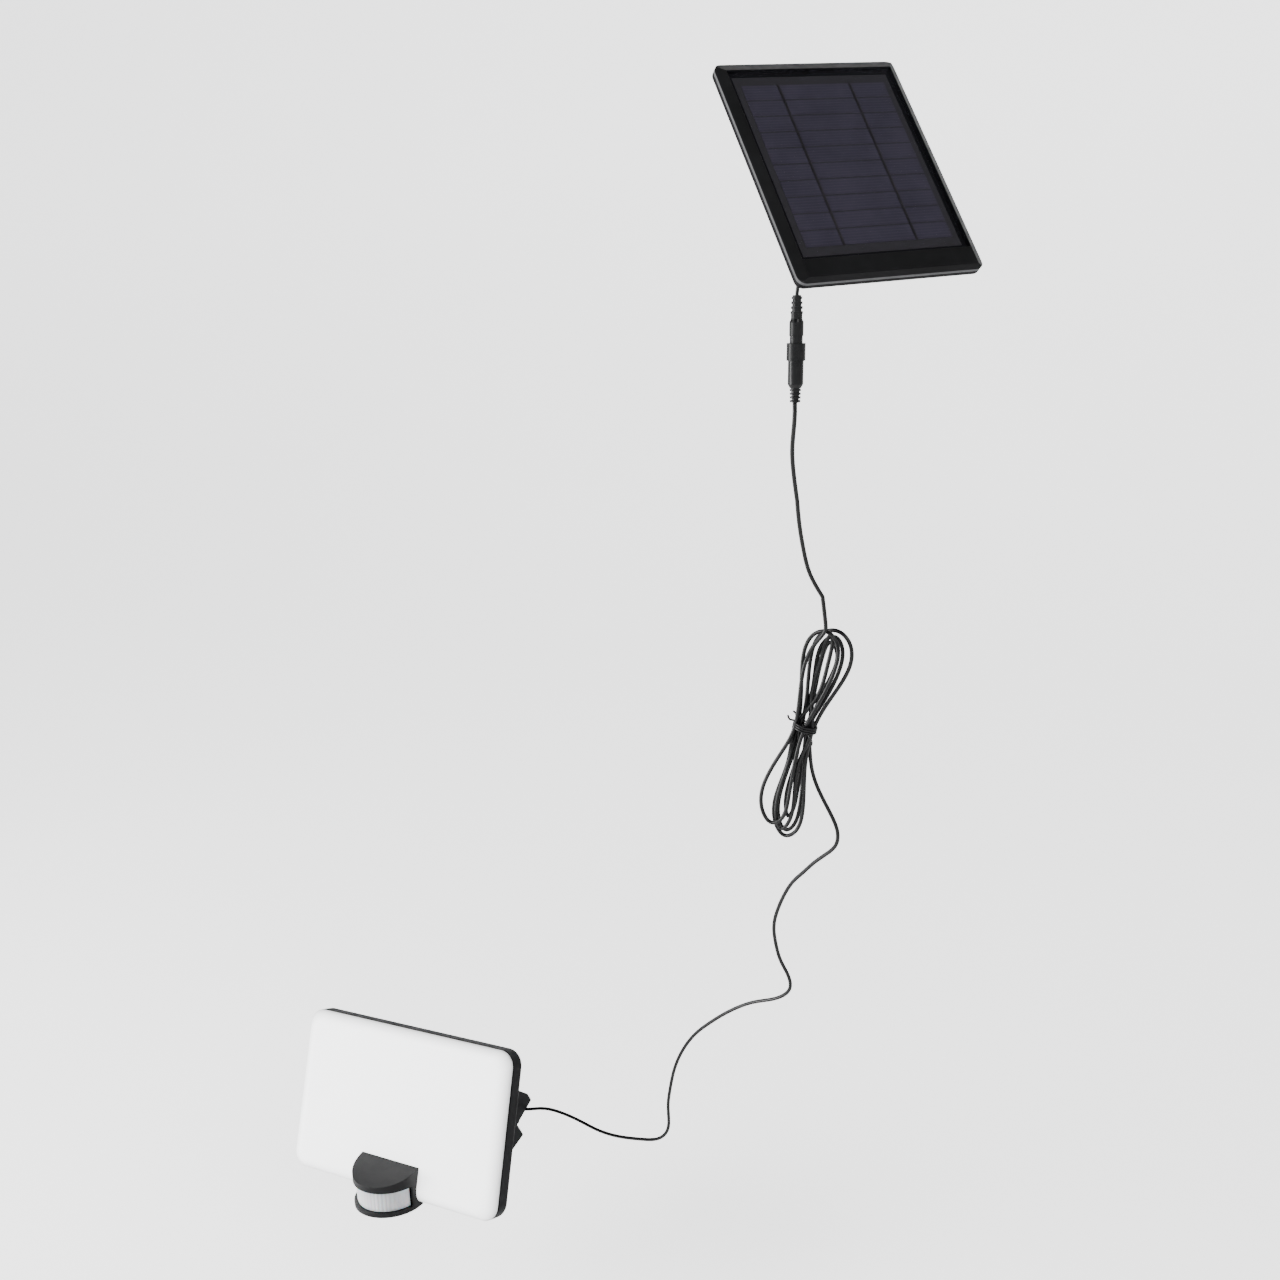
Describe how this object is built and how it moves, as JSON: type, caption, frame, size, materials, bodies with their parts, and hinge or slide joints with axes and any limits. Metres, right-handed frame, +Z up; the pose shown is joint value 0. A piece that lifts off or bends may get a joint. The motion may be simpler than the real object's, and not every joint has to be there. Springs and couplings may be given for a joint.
{
  "type": "solar flood light",
  "caption": "Wall flood light with a rounded opal face and a half-round motion sensor below it, on a tilting yoke, with a remote tilting solar panel on a plug-in cable.",
  "frame": {"origin": "centre of the lamp bracket's wall face", "axes": "+Y into the wall, +Z up, +X to the right of a person facing the wall"},
  "size_m": [0.6749, 0.1997, 0.9471],
  "materials": {
    "opal_diffuser": "opal white polycarbonate, satin",
    "seal_rubber": "black silicone seal",
    "black_casing": "fine-textured black ABS",
    "charcoal_hood": "satin charcoal ABS",
    "lens_film": "pale translucent polyethylene lens with vertical facets",
    "white_board": "white solder mask",
    "green_board": "green solder mask",
    "led_phosphor": "yellow phosphor package",
    "steel": "zinc-plated steel",
    "dark_steel": "black-coated steel",
    "cell_wrap": "blue shrink wrap",
    "soft_black": "flexible black PVC",
    "gloss_frame": "gloss black ABS with satin sides",
    "panel_glass": "tempered glass over dark laminate",
    "silicon": "dark blue silicon with fine silver fingers",
    "ribbon": "tinned copper ribbon",
    "dark_laminate": "black-brown backing sheet",
    "nickel": "nickel-plated contact"
  },
  "bodies": {
    "root": {"wall_bracket": "black_casing", "pivot_bolts": "dark_steel", "friction_washers": "steel", "swivel_nut": "steel", "swivel_washer": "steel", "panel_bracket": "black_casing", "cable_lower": "soft_black", "cable_upper": "soft_black", "cable_coil": "soft_black", "cable_tie": "soft_black"},
    "lamp_head": {"diffuser": "opal_diffuser", "diffuser_gasket": "seal_rubber", "back_housing": "black_casing", "led_board": "white_board", "led_chips": "led_phosphor", "led_board_screws": "steel", "battery_cells": "cell_wrap", "control_board": "green_board", "mode_switch": "dark_steel", "battery_cover": "black_casing", "cover_screws": "steel", "cable_gland": "soft_black", "lamp_lead": "soft_black", "pivot_nuts": "steel", "sensor_hood": "charcoal_hood", "sensor_screws": "steel", "sensor_lens": "lens_film", "sensor_board": "green_board", "motion_detector": "nickel"},
    "mode_button": {"mode_button": "seal_rubber"},
    "panel_swivel": {"panel_fork": "black_casing", "panel_tilt_bolt": "dark_steel", "panel_tilt_nut": "steel", "swivel_bolt": "dark_steel"},
    "panel": {"panel_frame": "gloss_frame", "panel_glass": "panel_glass", "solar_cells": "silicon", "cell_ribbons": "ribbon", "pv_board": "dark_laminate", "junction_box": "black_casing", "panel_back_cover": "black_casing", "panel_screws": "steel", "panel_gland": "soft_black", "panel_lead": "soft_black", "plug_body": "soft_black", "plug_barrel": "nickel", "socket_body": "soft_black", "socket_pin": "nickel"}
  },
  "joints": [
    {"name": "lamp_tilt", "type": "hinge", "parent": "root", "child": "lamp_head", "pos_m": [0, -0.09328, 0.02964], "axis": [1, 0, 0], "range_deg": [-8.5, 71.5]},
    {"name": "button_press", "type": "slide", "parent": "lamp_head", "child": "mode_button", "axis": [0, 0.3665, 0.9304], "range_m": [0, 0.0012], "stiffness_N_per_m": 600, "springref_m": -0.0005},
    {"name": "panel_pan", "type": "hinge", "parent": "root", "child": "panel_swivel", "pos_m": [0.4568, -0.0899, 0.8298], "axis": [0, 0, 1], "range_deg": [-117.9, 12.1]},
    {"name": "panel_tilt", "type": "hinge", "parent": "panel_swivel", "child": "panel", "pos_m": [0.46159, -0.09352, 0.8298], "axis": [0.6033, 0.7975, 0], "range_deg": [-15.7, 34.2]}
  ]
}
